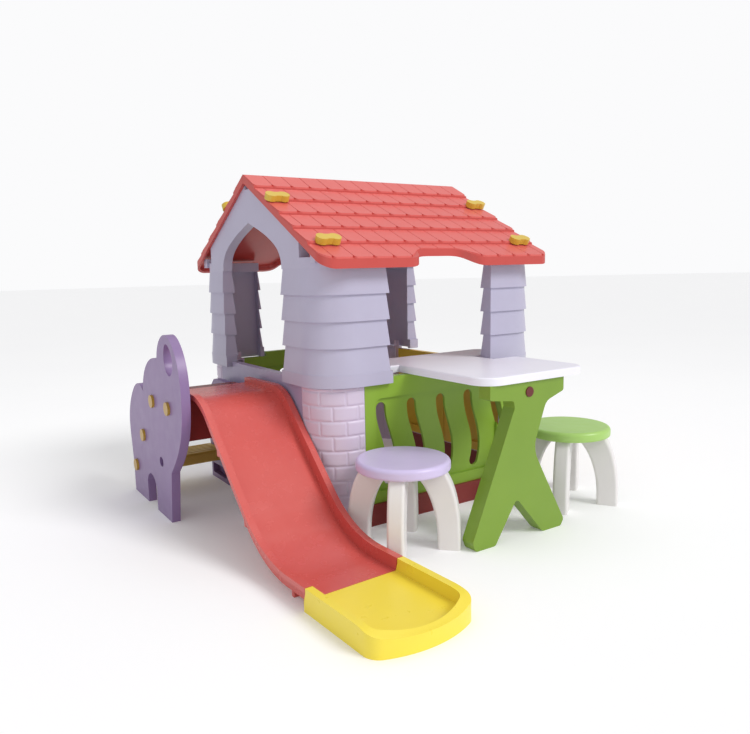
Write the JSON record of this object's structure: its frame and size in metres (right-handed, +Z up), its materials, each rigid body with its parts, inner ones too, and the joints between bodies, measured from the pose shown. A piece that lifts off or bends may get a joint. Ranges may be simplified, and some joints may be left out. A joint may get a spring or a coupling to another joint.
{
  "type": "plastic playhouse",
  "caption": "Child's moulded playhouse with gable roof, side slide, ladder platform, half doors, counter table on a trestle leg and loose stools.",
  "frame": {"origin": "middle of the footprint, on the floor", "axes": "+Z up; the ridge of the house runs along X; the table, stools and slide run-out are on the -Y side; the slide and ladder are on the -X side"},
  "size_m": [1.4368, 1.7542, 1.1998],
  "materials": {
    "lavender_plastic": "satin",
    "lilac_plastic": "satin",
    "white_plastic": "satin",
    "red_plastic": "satin",
    "dark_red_plastic": "satin",
    "green_plastic": "satin",
    "yellow_plastic": "satin",
    "purple_plastic": "satin",
    "steel_pin": "satin"
  },
  "bodies": {
    "house": {"base_rail_back": "dark_red_plastic", "base_rail_front": "dark_red_plastic", "base_rail_left": "dark_red_plastic", "base_rail_right": "dark_red_plastic", "brick_post_back_left": "lilac_plastic", "brick_post_back_right": "lilac_plastic", "brick_post_front_left": "lilac_plastic", "brick_post_front_right": "lilac_plastic", "door_pins_back": "steel_pin", "door_pins_front": "steel_pin", "fence_back": "green_plastic", "fence_front": "green_plastic", "gable_left": "lavender_plastic", "gable_right": "lavender_plastic", "ladder_bolts_inner": "yellow_plastic", "ladder_bolts_outer": "yellow_plastic", "ladder_panel_inner": "purple_plastic", "ladder_panel_outer": "purple_plastic", "leg_bolt": "dark_red_plastic", "platform_beam": "red_plastic", "roof_back": "red_plastic", "roof_bolts": "yellow_plastic", "roof_front": "red_plastic", "side_panel": "lilac_plastic", "siding_post_back_left": "lavender_plastic", "siding_post_back_right": "lavender_plastic", "siding_post_front_left": "lavender_plastic", "siding_post_front_right": "lavender_plastic", "slide_chute": "red_plastic", "slide_end": "yellow_plastic", "step_1": "yellow_plastic", "step_2": "yellow_plastic", "table_leg": "green_plastic", "table_top": "white_plastic"},
    "door_front": {"door_leaf_front": "yellow_plastic"},
    "door_back": {"door_leaf_back": "yellow_plastic"},
    "stool_lilac": {"stool_seat_lilac": "lilac_plastic", "stool_leg_lilac_1": "white_plastic", "stool_leg_lilac_2": "white_plastic", "stool_leg_lilac_3": "white_plastic", "stool_leg_lilac_4": "white_plastic"},
    "stool_green": {"stool_seat_green": "green_plastic", "stool_leg_green_1": "white_plastic", "stool_leg_green_2": "white_plastic", "stool_leg_green_3": "white_plastic", "stool_leg_green_4": "white_plastic"}
  },
  "joints": [
    {"name": "door_front_hinge", "type": "hinge", "parent": "house", "child": "door_front", "pos_m": [0.58111, -0.01088, 0.276], "axis": [0, 0, -1], "range_deg": [0, 95]},
    {"name": "door_back_hinge", "type": "hinge", "parent": "house", "child": "door_back", "pos_m": [0.58111, 0.65512, 0.276], "axis": [0, 0, 1], "range_deg": [0, 95]},
    {"name": "stool_lilac_lift", "type": "slide", "parent": "house", "child": "stool_lilac", "axis": [0, 0, 1], "range_m": [0, 0.18]},
    {"name": "stool_green_lift", "type": "slide", "parent": "house", "child": "stool_green", "axis": [0, 0, 1], "range_m": [0, 0.18]}
  ]
}
